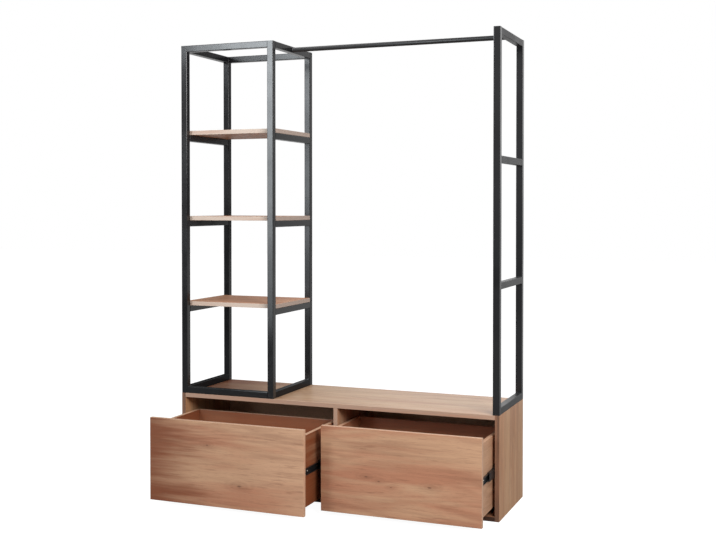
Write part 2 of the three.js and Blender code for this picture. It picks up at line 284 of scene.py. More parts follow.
class WardrobeFinishes(bpy.types.PropertyGroup):
    """Colours of the boards and the metal, some of them painted shade, painted light and painted
    sheen, and the gloss of the powder coats
    """

    oak: colour("Oak", "Main colour of the oak laminate", (0.455, 0.197, 0.108))
    oak_light: colour("Light oak", "Light patches of the oak laminate", (0.545, 0.312, 0.182))
    oak_dark: colour("Dark oak", "Dark growth rings of the oak laminate", (0.215, 0.086, 0.042))
    # Heartwood, which also serves as painted shade inside the drawers, on the cabinet's bottom,
    # on its top under the tower, on the left drawer's outer side and in part on the drawer fronts
    oak_heart: colour("Heartwood", "Dark red heartwood of some boards", (0.185, 0.038, 0.006))
    # Sapwood, which also serves as painted light on the right drawer's outer side and in part on
    # the drawer fronts
    oak_sap: colour("Sapwood", "Pale sapwood of some boards", (0.61, 0.355, 0.215))
    # Painted sheen: a pale, grey tint mixed into the cabinet's top, for the pale reflection it
    # shows seen at a slant
    oak_faded: colour("Faded oak", "Paler tint of the cabinet's top", (0.57, 0.465, 0.275))
    oak_straw: colour("Straw oak", "Yellower tint of the cabinet's sides", (0.72, 0.41, 0.15))
    oak_knot: colour("Knots", "Knots and pores of the oak laminate", (0.11, 0.043, 0.023))
    front_band: colour("Front band", "Edge band of the drawers", (0.60, 0.37, 0.24))
    oak_band: colour("Edge band", "Edge band of the top and the divider", (0.43, 0.275, 0.195))
    # Painted shade: the dark band on the side panels' edges stands in for the shade the drawer
    # fronts cast on the front edge
    side_band_painted_shade: colour("Side band", "Dark edge band of the cabinet's sides", (0.155, 0.077, 0.044))
    # Painted shade: the near black band on the bottom panel's edges stands in for the shade under
    # the drawers
    base_band_painted_shade: colour("Base band", "Dark edge band of the cabinet's bottom", (0.05, 0.018, 0.008))
    shelf_band: colour("Shelf band", "Pale edge band of the shelves", (0.63, 0.50, 0.41))
    # Painted shade: the darker band on the shelves' ends stands in for these faces getting less
    # light than the fronts
    shelf_end: colour("Shelf end", "Darker band on the ends of the shelves", (0.42, 0.32, 0.265))
    shelf_oak: colour("Shelf oak", "Lighter tint of the shelves", (0.74, 0.38, 0.22))
    backing: colour("Thin board", "Thin back panel and drawer bottoms", (0.78, 0.45, 0.28))
    coat: colour("Powder coat", "Coat on the steel tube", (0.0070, 0.0071, 0.0080))
    steel: colour("Slide steel", "Black plating on the drawer slides", (0.045, 0.045, 0.048))
    screw: colour("Screws", "Zinc plated screws and nails", (0.52, 0.51, 0.48))
    coat_reflection: factor("Coat reflection", "Reflection level of the coat on most tubes", 0.5)
    back_reflection: factor(
        "Back reflection", "Reflection level of the coat on the tower's back tubes", 0.30
    )
    foot_reflection: factor(
        "Foot reflection", "Reflection level of the coat on the tower's foot, at its sides", 0.05
    )
    dull_reflection: factor(
        "Rail reflection", "Reflection level of the coat on the end frame's rails", 1.0
    )
    rod_reflection: factor(
        "Rod reflection", "Reflection level of the coat on the clothes rod", 0.65
    )
    gloss_spread: factor("Coat roughness", "Roughness of the coat on most tubes", 0.18, 0.05)
    dull_spread: factor(
        "Dull roughness", "Roughness of the coat on the end frame's rails and the clothes rod",
        0.42, 0.05,
    )


class WardrobeFixings(bpy.types.PropertyGroup):
    """Sizes of the welds, the clothes rod's skin and the small fasteners"""

    bead_radius: length("Weld bead", "Radius of the weld beads at the tube joints", 0.0016)
    bead_ripple: length("Weld ripple", "Distance between two ripples of a weld bead", 0.0024)
    rod_sides: IntProperty(
        name="Rod sides", description="Faces round the clothes rod", default=64, min=16, max=128
    )
    nail_spacing: length("Nail spacing", "Distance between nails of the back panel", 0.09)
    nail_inset: length("Nail inset", "Distance of the nails from the panel's rim", 0.008)
    nail_head: length("Nail head", "Diameter of a nail head", 0.0055)
    nail_rise: length("Nail rise", "Height of a nail head", 0.0007)
    screw_head: length("Screw head", "Diameter of a slide screw's head", 0.0068)
    screw_rise: length("Screw rise", "Height of a slide screw's head", 0.0019)
    slide_wall: length("Slide wall", "Thickness of the slides' folded steel", 0.0012)


class WardrobeStudio(bpy.types.PropertyGroup):
    """Camera and plain studio light"""

    camera_place: FloatVectorProperty(
        name="Camera", description="Place of the camera",
        default=(1.72254, -4.23062, 1.21345), subtype="TRANSLATION", unit="LENGTH",
    )
    camera_turn: angle("Turn", "Turn of the camera to the left of straight on", 0.382401)
    camera_tilt: angle("Tilt", "Tilt of the camera below the horizon", 0.017887)
    camera_lens: FloatProperty(
        name="Lens", description="Focal length in millimetres", default=54.28, unit="CAMERA"
    )
    camera_shift: FloatVectorProperty(
        name="Shift", description="Shift of the picture, in widths of the sensor", size=2,
        default=(0.0050, -0.0622), precision=4,
    )
    floor_size: length("Floor", "Side of the square floor", 40.0, 1.0, 200.0)
    floor_glow: strength("Floor glow", "Share of white that the camera adds to the floor", 0.96)
    room_light: strength("Room light", "Strength of the even light from all round", 0.36)
    back_shine: strength("Back in gloss", "Brightness of the middle of the room's back", 1.08)
    side_shine: strength("Sides in gloss", "Brightness of the back beside its middle", 0.52)
    edge_shine: strength("Edges in gloss", "Brightness of the back's dark outer edges", 0.05)
    upper_shine: strength("Upper right in gloss", "What the back's upper right adds", 0.60)
    front_shine: strength("Front in gloss", "Brightness of the room's front", 0.45)
    low_shine: strength("Low front in gloss", "Brightness of the front near the floor", 0.08)
    right_shine: strength("Right front in gloss", "What the right of the front adds", 0.16)
    floor_shine: strength("Back floor in gloss", "Brightness of the floor behind", 0.50)
    front_floor_shine: strength(
        "Front floor in gloss", "Brightness of the floor in front", 0.30
    )
    key_power: strength("Key light", "Power of the lamp at the front right", 117, "POWER")
    top_power: strength("Top light", "Power of the lamp overhead", 42, "POWER")
    strip_power: strength("Strip light", "Power of a square metre of strip lamp", 40, "POWER")


def finishes():
    return bpy.context.scene.wardrobe_finishes


def fixings():
    return bpy.context.scene.wardrobe_fixings


def studio():
    return bpy.context.scene.wardrobe_studio


# Material building


def node(tree, kind, inputs=None, **settings):
    """Adds a shader node. Inputs are values or the output sockets of other nodes."""
    made = tree.nodes.new(kind)
    for setting, value in settings.items():
        setattr(made, setting, value)
    for socket, value in (inputs or {}).items():
        if isinstance(value, bpy.types.NodeSocket):
            tree.links.new(value, made.inputs[socket])
        else:
            made.inputs[socket].default_value = value
    return made


def new_material(name):
    made = bpy.data.materials.new(name)
    made.use_nodes = True
    return made, made.node_tree, made.node_tree.nodes["Principled BSDF"]


def shared(name, make):
    """The material of that name, made once"""
    return bpy.data.materials.get(name) or make(name)


def opaque(rgb):
    return (rgb[0], rgb[1], rgb[2], 1.0)


def shaded(rgb, share):
    """A colour made darker or paler"""
    return opaque([min(1.0, share * value) for value in rgb])


def arithmetic(tree, operation, first, second=0.0, third=0.0):
    inputs = {0: first, 1: second, 2: third}
    return node(tree, "ShaderNodeMath", inputs, operation=operation).outputs[0]


def vector_maths(tree, operation, first, second=(0, 0, 0), output="Vector"):
    inputs = {0: first, 1: second}
    return node(tree, "ShaderNodeVectorMath", inputs, operation=operation).outputs[output]


def split(tree, vector):
    """The outputs for a vector's X, Y and Z"""
    return node(tree, "ShaderNodeSeparateXYZ", {0: vector}).outputs


def between(tree, share, first, second):
    """The number at a share of the way from the first to the second"""
    return arithmetic(
        tree, "MULTIPLY_ADD", share, arithmetic(tree, "SUBTRACT", second, first), first
    )


def remap(tree, value, low, high, new_low=0.0, new_high=1.0):
    """Goes smoothly from a new low to a new high as a value goes from low to high"""
    made = node(
        tree, "ShaderNodeMapRange",
        {0: value, 1: low, 2: high, 3: new_low, 4: new_high},
        interpolation_type="SMOOTHSTEP",
    )
    return made.outputs[0]


def zone(tree, parts, limits, low=0.0, high=1.0):
    """Goes from low to high where a vector's part passes the limits of a zone"""
    axis, start, end = limits
    return remap(tree, parts[axis], start, end, low, high)


def blend(tree, share, first, second):
    made = node(
        tree, "ShaderNodeMix", {0: share, 6: first, 7: second},
        data_type="RGBA", blend_type="MIX", clamp_factor=True,
    )
    return made.outputs[2]


def cover(tree, under, share, strongest, rgb):
    """Lays a colour over another one, at each point by the share times the strongest cover"""
    return blend(tree, arithmetic(tree, "MULTIPLY", share, strongest), under, opaque(rgb))


def mark(tree, under, pattern, limits, rgb):
    """Lays a colour over another one where a noise is high. Limits are as in WOOD_MARKS."""
    low, high, strongest = limits
    return cover(tree, under, remap(tree, pattern, low, high), strongest, rgb)


def noise(tree, vector, waves, detail=2.0, rough=0.5, distortion=0.0):
    """A noise with a number of waves in a metre along each axis"""
    vector = vector_maths(tree, "MULTIPLY", vector, waves)
    made = node(
        tree, "ShaderNodeTexNoise",
        {"Vector": vector, "Scale": 1.0, "Detail": detail, "Roughness": rough,
         "Distortion": distortion},
    )
    return made.outputs[0]


def grained_noise(tree, wood, along, across, *settings):
    """A noise with one number of waves along the grain and another across it"""
    return noise(tree, wood, (along, across, across), *settings)


def along_grain(tree, coordinates, grain, place):
    """Turns the coordinates so that the grain runs along their X and shifts them to a fresh
    part of the pattern, because no two boards are cut from the same sheet."""
    shift = tuple(place * step for step in BOARD_SHIFT)
    made = node(
        tree, "ShaderNodeMapping",
        {"Vector": coordinates, "Location": shift, "Rotation": GRAIN_TURNS[grain]},
    )
    return made.outputs[0]


def facing(tree, texture, axis):
    """1 on faces that look along an axis, either way, and 0 on the others"""
    turned = vector_maths(
        tree, "DOT_PRODUCT", texture.outputs["Normal"], tuple(AXES[axis]), "Value"
    )
    return remap(tree, arithmetic(tree, "ABSOLUTE", turned), *SQUARE_ON)


def finish_surface(tree, shader, rgb, pattern, roughness, bump=None, height=None):
    """Gives the shader a colour, a roughness that follows a noise, and a bump if there is one"""
    tree.links.new(rgb, shader.inputs["Base Color"])
    tree.links.new(remap(tree, pattern, *NOISE_SPAN, *roughness), shader.inputs["Roughness"])
    if bump:
        depth = {"Strength": bump[0], "Distance": bump[1], "Height": height}
        relief = node(tree, "ShaderNodeBump", depth)
        tree.links.new(relief.outputs["Normal"], shader.inputs["Normal"])


# Materials


def scattered_knots(tree, wood, share):
    """How near a point is to a knot, and whether it is in its heart. Share is the share of the
    places for a knot that have one."""
    along, across = KNOT_PLACES
    bent = vector_maths(
        tree, "ADD", vector_maths(tree, "MULTIPLY", wood, (along, across, across)),
        grained_noise(tree, wood, *KNOT_WAVES),
    )
    cells = node(
        tree, "ShaderNodeTexVoronoi", {"Vector": bent, "Scale": 1.0},
        voronoi_dimensions="3D", feature="F1",
    )
    drawn = node(tree, "ShaderNodeSeparateColor", {0: cells.outputs["Color"]}).outputs[0]
    chosen = arithmetic(tree, "LESS_THAN", drawn, share)
    away = cells.outputs["Distance"]
    return (
        arithmetic(tree, "MULTIPLY", chosen, remap(tree, away, *KNOT_REACH)),
        arithmetic(tree, "MULTIPLY", chosen, remap(tree, away, *KNOT_HEART_REACH)),
    )


def placed_knots(tree, point, places):
    """The same for the knots of a drawer front, which have the places of FRONT_KNOTS"""
    near, heart = 0.0, 0.0
    ripple = noise(tree, point, PLACED_KNOT_WAVES)
    for x, z, reach in places:
        away = vector_maths(tree, "SUBTRACT", point, (x, 0, z))
        shrink = (1 / reach, 0, PLACED_KNOT_SLIMNESS / reach)
        away = vector_maths(tree, "MULTIPLY", away, shrink)
        away = vector_maths(tree, "LENGTH", away, output="Value")
        away = arithmetic(tree, "MULTIPLY_ADD", ripple, PLACED_KNOT_RIPPLE, away)
        near = arithmetic(tree, "MAXIMUM", near, remap(tree, away, *PLACED_KNOT_REACH))
        heart = arithmetic(tree, "MAXIMUM", heart, remap(tree, away, *PLACED_KNOT_HEART_REACH))
    return near, heart


def toned(tree, face, along, noises, tones):
    """Adds a pale and a dark tone along a board, with wavering borders: sapwood and heartwood on
    the drawer fronts, where they also paint the light's fall-off, and painted light and painted
    shade on the other boards that have tones
    """
    look = finishes()
    darkest, heart_and_shade_end, sap_and_light_start, palest = tones
    uneven = arithmetic(tree, "MULTIPLY_ADD", noises["broad"], TONE_WAVER, along)
    uneven = arithmetic(tree, "MULTIPLY_ADD", noises["streaks"], TONE_WAVER, uneven)
    uneven = arithmetic(tree, "SUBTRACT", uneven, TONE_WAVER)
    # The pale tone: sapwood, and painted light on the right drawer's outer side
    sap_and_light = remap(tree, uneven, sap_and_light_start, palest)
    face = cover(tree, face, sap_and_light, SAP_AND_LIGHT_STRENGTH, look.oak_sap)
    # The dark tone: heartwood, and painted shade inside the drawers, on the cabinet's bottom,
    # under the tower and on the left drawer's outer side
    heart = remap(tree, uneven, heart_and_shade_end, darkest)
    return cover(tree, face, heart, HEART_AND_SHADE_STRENGTH, look.oak_heart)


def marked(tree, face, noises, near_knot, knot_heart):
    """Adds streaks, growth rings, flecks, fibres, pores and knots"""
    look = finishes()
    bent = arithmetic(tree, "MULTIPLY_ADD", near_knot, KNOT_PULL, noises["growth"])
    rings = arithmetic(tree, "SINE", arithmetic(tree, "MULTIPLY", bent, RING_DENSITY))
    rings = remap(tree, rings, *RING_SPAN)
    ring_strength = remap(tree, noises["growth"], *RING_GROWTH, *RING_STRENGTH)
    face = mark(tree, face, noises["streaks"], WOOD_MARKS["streaks"], look.oak_dark)
    face = cover(tree, face, rings, ring_strength, look.oak_dark)
    face = mark(tree, face, noises["flecks"], WOOD_MARKS["flecks"], look.oak_dark)
    face = mark(tree, face, noises["fibres"], WOOD_MARKS["fibres"], look.oak_dark)
    face = mark(tree, face, noises["pores"], WOOD_MARKS["pores"], look.oak_knot)
    face = cover(tree, face, near_knot, KNOT_STRENGTH, look.oak_dark)
    return cover(tree, face, knot_heart, KNOT_HEART_STRENGTH, look.oak_knot)


def oak_laminate(
    name, grain, thickness, place, knots=BOARD_KNOTS, edge="oak_band", ends=None, tones=None,
    tint="oak_faded", faded=0.0, varnish=OAK_VARNISH,
):
    """Printed oak on the broad faces and a plain edge band on the narrow ones. Grain and
    thickness are axes, and place is a number that no other board has. Knots is a share, as in
    BOARD_KNOTS, or a list, as in FRONT_KNOTS. Edge is the colour of the band, ends that of the
    band across the grain if it has its own, and the argument after tint gives the share of the
    tint. On the cabinet's sides and bottom the band is painted shade, so is the band on the
    shelves' ends, and on the cabinet's top the tint is a painted sheen."""
    look = finishes()
    material, tree, shader = new_material(name)
    texture = node(tree, "ShaderNodeTexCoord")
    point = texture.outputs["Object"]
    wood = along_grain(tree, point, grain, place)
    if isinstance(knots, float):
        near_knot, knot_heart = scattered_knots(tree, wood, knots)
    else:
        near_knot, knot_heart = placed_knots(tree, point, knots)
    noises = {
        kind: grained_noise(tree, wood, *settings) for kind, settings in WOOD_NOISES.items()
    }

    light = arithmetic(
        tree, "MULTIPLY_ADD", noises["patches"], PATCH_WEIGHT, noises["broad"]
    )
    light = remap(tree, light, *LIGHT_SPAN)
    face = blend(tree, light, opaque(look.oak), opaque(look.oak_light))
    # A share of a tint; on the cabinet's top the tint is a painted sheen
    face = blend(tree, faded, face, opaque(getattr(look, tint)))
    if tones:
        face = toned(tree, face, split(tree, point)[grain], noises, tones)
    face = marked(tree, face, noises, near_knot, knot_heart)

    band = mark(tree, opaque(getattr(look, edge)), noises["streaks"], BAND_MARKS, look.oak)
    # Painted shade: a band across the grain, on the shelves' ends, can have its own darker colour
    if ends:
        band = blend(tree, facing(tree, texture, grain), band, opaque(getattr(look, ends)))
    rgb = blend(tree, facing(tree, texture, thickness), band, face)

    relief = arithmetic(tree, "MULTIPLY_ADD", noises["pores"], PORE_WEIGHT, noises["fibres"])
    finish_surface(tree, shader, rgb, noises["fibres"], OAK_ROUGHNESS, OAK_BUMP, relief)
    shader.inputs["Coat Weight"].default_value = varnish
    shader.inputs["Coat Roughness"].default_value = VARNISH_ROUGHNESS
    return material


def thin_board(name):
    """Thin smooth board with a faint fibre along X"""
    look = finishes()
    material, tree, shader = new_material(name)
    texture = node(tree, "ShaderNodeTexCoord")
    wood = along_grain(tree, texture.outputs["Object"], X, THIN_BOARDS[name])
    clouds = remap(tree, grained_noise(tree, wood, *THIN_BOARD_CLOUDS), *NOISE_SPAN)
    fibres = grained_noise(tree, wood, *THIN_BOARD_FIBRES)
    rgb = blend(tree, clouds, opaque(look.backing), shaded(look.backing, THIN_BOARD_SHADE))
    rgb = mark(tree, rgb, fibres, THIN_BOARD_MARKS, look.oak_knot)
    finish_surface(tree, shader, rgb, fibres, THIN_BOARD_ROUGHNESS, THIN_BOARD_BUMP, fibres)
    return material


def powder_coat(name):
    """Satin black powder coat, in one of the glosses of COATS"""
    look = finishes()
    reflection, rough = (getattr(look, each) for each in COATS[name])
    material, tree, shader = new_material(name)
    texture = node(tree, "ShaderNodeTexCoord")
    patches = noise(tree, texture.outputs["Object"], *COAT_PATCHES)
    rgb = blend(
        tree, remap(tree, patches, *NOISE_SPAN), opaque(look.coat), shaded(look.coat, COAT_SHADE)
    )
    finish_surface(tree, shader, rgb, patches, [rough + change for change in COAT_CHANGE])
    shader.inputs["Specular IOR Level"].default_value = reflection
    return material


def plated_steel(name):
    """Rolled and plated steel, drawn along the slides"""
    tint, rough = PLATINGS[name]
    rgb = getattr(finishes(), tint)
    material, tree, shader = new_material(name)
    texture = node(tree, "ShaderNodeTexCoord")
    lines = noise(tree, texture.outputs["Object"], *STEEL_LINES)
    wear = noise(tree, texture.outputs["Object"], *STEEL_WEAR)
    drawn = remap(tree, lines, *STEEL_LINE_SPAN)
    rgb = blend(tree, drawn, opaque(rgb), shaded(rgb, STEEL_SHADE))
    roughness = [rough + change for change in STEEL_CHANGE]
    finish_surface(tree, shader, rgb, wear, roughness, STEEL_BUMP, lines)
    shader.inputs["Metallic"].default_value = STEEL_METALLIC
    return material


def finish_node(name, material):
    slots = NODES[name].material_slots
    if not slots:
        raise RuntimeError(f"{name} came without a material slot")
    for each in slots:
        each.material = material


def lay_oak(board, grain, thickness, place, **options):
    """Gives a board its own oak laminate"""
    finish_node(board, oak_laminate(f"oak_{board}", grain, thickness, place, **options))


# Mesh building


def place_object(name, data):
    made = bpy.data.objects.new(name, data)
    bpy.context.scene.collection.objects.link(made)
    return made


def keep(bm, name, body, material):
    """Turns a finished bmesh into a smooth piece that rides on a body"""
    bmesh.ops.recalc_face_normals(bm, faces=bm.faces)
    for face in bm.faces:
        face.smooth = True
    mesh = bpy.data.meshes.new(name)
    bm.to_mesh(mesh)
    bm.free()
    mesh.materials.append(material)
    piece = place_object(name, mesh)
    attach(piece, body)
    return piece


def round_face(bm, place, outwards, radius, sides):
    """A flat round face that looks outwards"""
    turn = outwards.to_track_quat("Z", "Y").to_matrix().to_4x4()
    ring = bmesh.ops.create_circle(
        bm, cap_ends=True, segments=sides, radius=radius,
        matrix=Matrix.Translation(place) @ turn,
    )["verts"]
    return ring[0].link_faces[0]


def grow(bm, face, shift, radius=None):
    """Extrudes a round face and returns the new end, scaled to a radius if one is given"""
    face = bmesh.ops.extrude_discrete_faces(bm, faces=[face])["faces"][0]
    bmesh.ops.translate(bm, vec=shift, verts=face.verts)
    if radius:
        centre = sum((vert.co for vert in face.verts), Vector()) / len(face.verts)
        scale = radius / (face.verts[0].co - centre).length
        bmesh.ops.scale(
            bm, vec=(scale,) * 3, verts=face.verts, space=Matrix.Translation(-centre)
        )
    return face


def weld_bead(bm, start, end):
    """A rippled bead of weld from one point to another"""
    size = fixings()
    run = end - start
    radii = [1.0, BEAD_VALLEY] * max(2, round(run.length / size.bead_ripple))
    radii[-1] = BEAD_END
    face = round_face(bm, start, run, size.bead_radius * BEAD_END, BEAD_SIDES)
    for radius in radii:
        face = grow(bm, face, run / len(radii), size.bead_radius * radius)


def rail_end_beads(bm, name, run_axis, flush):
    """Beads round both ends of a rail where it meets its posts. On the sides where rail and
    post are flush, the weld is ground away."""
    low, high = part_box(name)
    across = [axis for axis in (X, Y, Z) if axis != run_axis]
    for end in (low[run_axis], high[run_axis]):
        for axis, other in (across, across[::-1]):
            for side, place in ((-1, low[axis]), (1, high[axis])):
                if (axis, side) in flush:
                    continue
                start, stop = Vector((0, 0, 0)), Vector((0, 0, 0))
                start[other] = low[other] + BEAD_INSET
                stop[other] = high[other] - BEAD_INSET
                for point in (start, stop):
                    point[run_axis] = end
                    point[axis] = place
                weld_bead(bm, start, stop)


def fastener_head(bm, place, outwards, diameter, rise, recessed=False):
    """A low domed head that stands on a face, with a recess for the driver if it is a screw"""
    face = round_face(bm, place, outwards, diameter / 2, HEAD_SIDES)
    for radius, up in HEAD_RINGS:
        face = grow(bm, face, outwards * (rise * up), radius * diameter / 2)
    if recessed:
        grow(bm, face, outwards * (-rise * RECESS_DEPTH))


# Pieces


class WARDROBE_OT_cabinet(bpy.types.Operator):
    """Oak laminate on the cabinet's boards, with painted shade on the sides' edges, the bottom
    and the top under the tower, and a painted sheen on the top
    """

    bl_idname = "wardrobe.cabinet"
    bl_label = "Cabinet boards"

    def execute(self, context):
        # The sides' edge band is painted shade
        side = {"edge": "side_band_painted_shade", "tint": "oak_straw", "faded": 0.25}
        lay_oak("side_panel_left", Z, X, place=1, **side)
        lay_oak("side_panel_right", Z, X, place=2, **side)
        # The top: painted shade towards the left under the tower, and a share of painted sheen
        # that makes it paler
        lay_oak("top_panel", X, Z, place=3, tones=PAINTED_TOWER_SHADE_TONES, faded=0.27)
        # The bottom: painted shade, a darker tone on the board and a near black edge band
        lay_oak("bottom_panel", X, Z, place=4, edge="base_band_painted_shade", tones=HALF_PAINTED_SHADE_TONES)
        lay_oak("divider_panel", Z, X, place=5)
        return {"FINISHED"}


class WARDROBE_OT_drawers(bpy.types.Operator):
    """Oak laminate on the drawers, with the grain along the fronts, and their thin bottoms. The
    insides of the boxes have painted shade, the left drawer's outer side a painted shadow and the
    right drawer's outer side painted light
    """

    bl_idname = "wardrobe.drawers"
    bl_label = "Drawers"

    def execute(self, context):
        # Painted shade inside the boxes, a painted shadow on the left drawer's outer side and
        # painted light on the right drawer's outer side
        box_painted_shade = {"left": DEEP_PAINTED_SHADE_TONES, "right": HALF_PAINTED_SHADE_TONES}
        side_painted_shadow_and_light = {"left": PAINTED_SHADOW_TONES, "right": PAINTED_LIGHT_TONES}
        for drawer, first_place in (("left", 11), ("right", 17)):
            boards = (
                ("front", X, Y, FRONT_KNOTS[drawer], FRONT_TONES[drawer]),
                ("side_left", Y, X, BOX_KNOTS, box_painted_shade[drawer]),
                ("side_right", Y, X, BOX_KNOTS, side_painted_shadow_and_light[drawer]),
                ("back", X, Y, BOX_KNOTS, box_painted_shade[drawer]),
            )
            for place, (board, grain, thickness, knots, tones) in enumerate(boards, first_place):
                lay_oak(
                    f"{drawer}_drawer_{board}", grain, thickness, place,
                    knots=knots, edge="front_band", tones=tones,
                )
            bottom = shared("thin_board_bottoms", thin_board)
            finish_node(f"{drawer}_drawer_bottom", bottom)
        return {"FINISHED"}


class WARDROBE_OT_shelves(bpy.types.Operator):
    """Oak laminate on the shelves of the tower, with painted shade on the band at their ends"""

    bl_idname = "wardrobe.shelves"
    bl_label = "Shelves"

    def execute(self, context):
        for number in (1, 2, 3):
            # The band on the ends is painted shade
            lay_oak(
                f"shelf_{number}", X, Z, place=21 + number, edge="shelf_band",
                ends="shelf_end", tint="shelf_oak", faded=0.5, varnish=0.0,
            )
        return {"FINISHED"}


class WARDROBE_OT_back_panel(bpy.types.Operator):
    """Thin back panel with the nails that hold it"""

    bl_idname = "wardrobe.back_panel"
    bl_label = "Back panel and nails"

    def execute(self, context):
        size = fixings()
        finish_node("back_panel", shared("thin_board_back", thin_board))
        low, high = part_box("back_panel")
        left, right = low.x + size.nail_inset, high.x - size.nail_inset
        bottom, top = low.z + size.nail_inset, high.z - size.nail_inset
        divider_low, divider_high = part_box("divider_panel")
        middle = (divider_low.x + divider_high.x) / 2
        across = round((right - left) / size.nail_spacing)
        upwards = round((top - bottom) / size.nail_spacing)
        columns = [left + (right - left) * index / across for index in range(across + 1)]
        rows = [bottom + (top - bottom) * index / upwards for index in range(1, upwards)]
        places = [(x, z) for x in columns for z in (bottom, top)]
        places += [(x, z) for z in rows for x in (left, right, middle)]
        bm = bmesh.new()
        for x, z in places:
            fastener_head(bm, Vector((x, high.y, z)), AXES[Y], size.nail_head, size.nail_rise)
        zinc = shared("zinc_plated", plated_steel)
        keep(bm, "back_panel_nails", "cabinet", zinc)
        return {"FINISHED"}


def coat_name(tube):
    """Which powder coat a tube has"""
    if tube.startswith("end_frame") and "post" not in tube:
        return "dull_powder_coat"
    if tube in ("tower_base_rail_left", "tower_base_rail_right"):
        return "foot_powder_coat"
    if tube.startswith("tower") and "back" in tube:
        return "flat_powder_coat"
    return "black_powder_coat"


def flush_sides(rail, run_axis, low):
    """The sides on which a rail is flush with its posts, as axis and direction"""
    if run_axis == X:
        sides = {(Y, -1) if low.y < 0 else (Y, 1)}
    elif rail.startswith("end_frame"):
        sides = {(X, -1), (X, 1)}
    else:
        sides = {(X, -1) if "left" in rail else (X, 1)}
    if "top_rail" in rail:
        sides.add((Z, 1))
    if "base_rail" in rail:
        sides.add((Z, -1))
    return sides


class WARDROBE_OT_frames(bpy.types.Operator):
    """Powder coat on the shelf tower and the end frame, and the weld beads at their joints"""

    bl_idname = "wardrobe.frames"
    bl_label = "Tube frames and welds"

    def execute(self, context):
        frames = ("tower_", "shelf_rail_", "end_frame_")
        tubes = [name for name in NODES if name.startswith(frames)]
        for tube in tubes:
            finish_node(tube, shared(coat_name(tube), powder_coat))
        tower, end_frame = bmesh.new(), bmesh.new()
        for rail in (tube for tube in tubes if "post" not in tube):
            low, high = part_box(rail)
            run_axis = X if high.x - low.x > high.y - low.y else Y
            target = end_frame if rail.startswith("end_frame") else tower
            rail_end_beads(target, rail, run_axis, flush_sides(rail, run_axis, low))
        coat = shared("black_powder_coat", powder_coat)
        keep(tower, "tower_welds", "cabinet", coat)
        keep(end_frame, "end_frame_welds", "cabinet", coat)
        return {"FINISHED"}


class WARDROBE_OT_clothes_rod(bpy.types.Operator):
    """Round clothes rod with the weld at each end"""

    bl_idname = "wardrobe.clothes_rod"
    bl_label = "Clothes rod"

    def execute(self, context):
        size = fixings()
        low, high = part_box("clothes_rod")
        centre = (low + high) / 2
        radius, bead = (high.z - low.z) / 2, size.bead_radius
        shoulder = (bead * SHOULDER_LENGTH, radius + bead * SHOULDER_HEIGHT)
        bare = high.x - low.x - 2 * (SHOULDER_LENGTH + SLOPE_LENGTH) * bead
        rings = (
            shoulder,
            (bead * SLOPE_LENGTH, radius),
            (bare, radius),
            (bead * SLOPE_LENGTH, shoulder[1]),
            (shoulder[0], radius + bead),
        )
        bm = bmesh.new()
        start = Vector((low.x, centre.y, centre.z))
        face = round_face(bm, start, AXES[X], radius + bead, size.rod_sides)
        for forwards, ring_radius in rings:
            face = grow(bm, face, AXES[X] * forwards, ring_radius)
        coat = shared("rod_powder_coat", powder_coat)
        rod = keep(bm, "clothes_rod_skin", "cabinet", coat)
        for polygon in rod.data.polygons:
            polygon.use_smooth = len(polygon.vertices) == 4
        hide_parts("clothes_rod")
        return {"FINISHED"}


class WARDROBE_OT_slides(bpy.types.Operator):
    """Black plating on the drawer slides, and the pan heads that hold the inner channels"""

    bl_idname = "wardrobe.slides"
    bl_label = "Drawer slides and screws"

    def execute(self, context):
        size = fixings()
        steel = shared("black_slide_steel", plated_steel)
        zinc = shared("zinc_plated", plated_steel)
        for name in NODES:
            if "_slide_" in name:
                finish_node(name, steel)
        for drawer in ("left_drawer", "right_drawer"):
            bm = bmesh.new()
            for side, outwards in (("left", -1), ("right", 1)):
                low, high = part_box(f"{drawer}_slide_{side}_inner")
                web = (high.x if outwards < 0 else low.x) + outwards * size.slide_wall
                for share in SCREW_SHARES:
                    y = low.y + share * (high.y - low.y)
                    fastener_head(
                        bm, Vector((web, y, (low.z + high.z) / 2)), AXES[X] * outwards,
                        size.screw_head, size.screw_rise, recessed=True,
                    )
            keep(bm, f"{drawer}_slide_screws", drawer, zinc)
        return {"FINISHED"}


# Studio


def area_light(name, place, target, width, height, power, tint=WHITE):
    lamp = bpy.data.lights.new(name, "AREA")
    lamp.shape = "RECTANGLE"
    lamp.size, lamp.size_y = width, height
    lamp.energy = power
    lamp.color = tint
    holder = place_object(name, lamp)
    holder.location = place
    aim = Vector(target) - Vector(place)
    holder.rotation_euler = aim.to_track_quat("-Z", "Y").to_euler()
    holder.visible_camera = False


def room_in_gloss(tree):
    """Brightness that the room has in gloss, by the direction of the ray"""
    setup = studio()
    parts = split(tree, node(tree, "ShaderNodeTexCoord").outputs["Generated"])

    def within(name, low=0.0, high=1.0):
        return zone(tree, parts, ROOM_ZONES[name], low, high)

    beside = arithmetic(
        tree, "MINIMUM",
        within("right of the dark left", setup.edge_shine, setup.side_shine),
        within("dark right", setup.side_shine, setup.edge_shine),
    )
    upper = arithmetic(
        tree, "MULTIPLY",
        within("upper part, from its left"), within("upper part, from its right"),
    )
    upper = arithmetic(
        tree, "MULTIPLY", upper, within("upper part, from below", 0.0, setup.upper_shine)
    )
    beside = arithmetic(tree, "ADD", beside, upper)
    aside = arithmetic(tree, "ABSOLUTE", arithmetic(tree, "SUBTRACT", parts[X], BRIGHT_MIDDLE))
    back = remap(tree, aside, *BRIGHT_SPAN, beside, setup.back_shine)
    front = arithmetic(
        tree, "ADD", within("above the floor", setup.low_shine, setup.front_shine),
        within("right of the front", 0.0, setup.right_shine),
    )
    return between(tree, within("back"), front, back)


